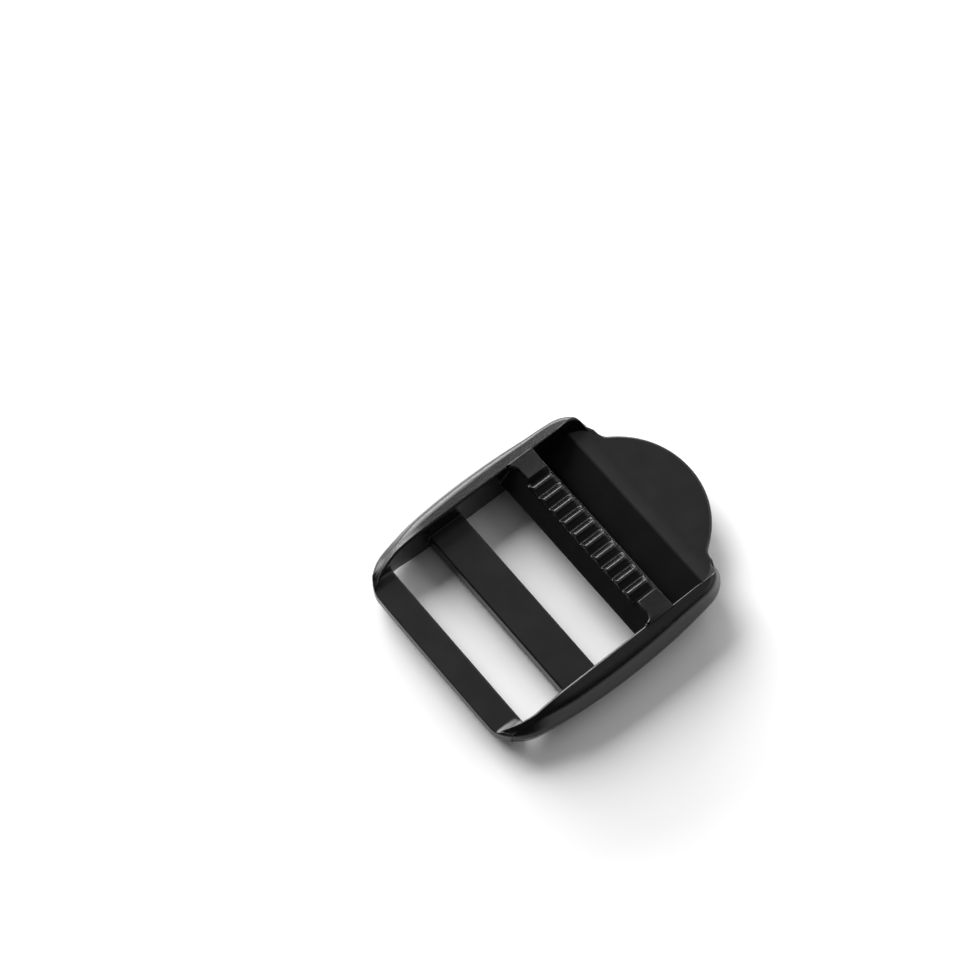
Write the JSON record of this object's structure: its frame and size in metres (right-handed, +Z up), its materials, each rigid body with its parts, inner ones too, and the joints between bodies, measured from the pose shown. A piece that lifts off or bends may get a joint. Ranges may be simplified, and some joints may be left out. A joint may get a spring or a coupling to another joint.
{
  "type": "ladder-lock buckle slider",
  "caption": "Moulded ladder-lock buckle slider: rounded side rails, sewing bar, middle bar, toothed grip bar and a round thumb tab for adjusting webbing.",
  "frame": {"origin": "on the surface that the buckle lies on, at the middle of its width and of its length", "axes": "+X across the strap, to the right seen from above with the thumb tab away; +Y along the strap, from the sewing bar to the thumb tab; +Z up, out of the toothed side"},
  "size_m": [0.0318, 0.0398, 0.0067],
  "materials": {
    "grained_moulding": "dark grey moulded plastic with a fine spark-eroded grain",
    "satin_moulding": "dark grey moulded plastic with a smooth satin face"
  },
  "bodies": {
    "root": {"left_rail": "grained_moulding", "right_rail": "grained_moulding", "sewing_bar": "satin_moulding", "middle_bar": "satin_moulding", "grip_bar": "satin_moulding", "grip_teeth": "grained_moulding", "left_grip_pad": "grained_moulding", "right_grip_pad": "grained_moulding", "rear_bar": "satin_moulding", "thumb_tab": "satin_moulding"}
  },
  "joints": []
}
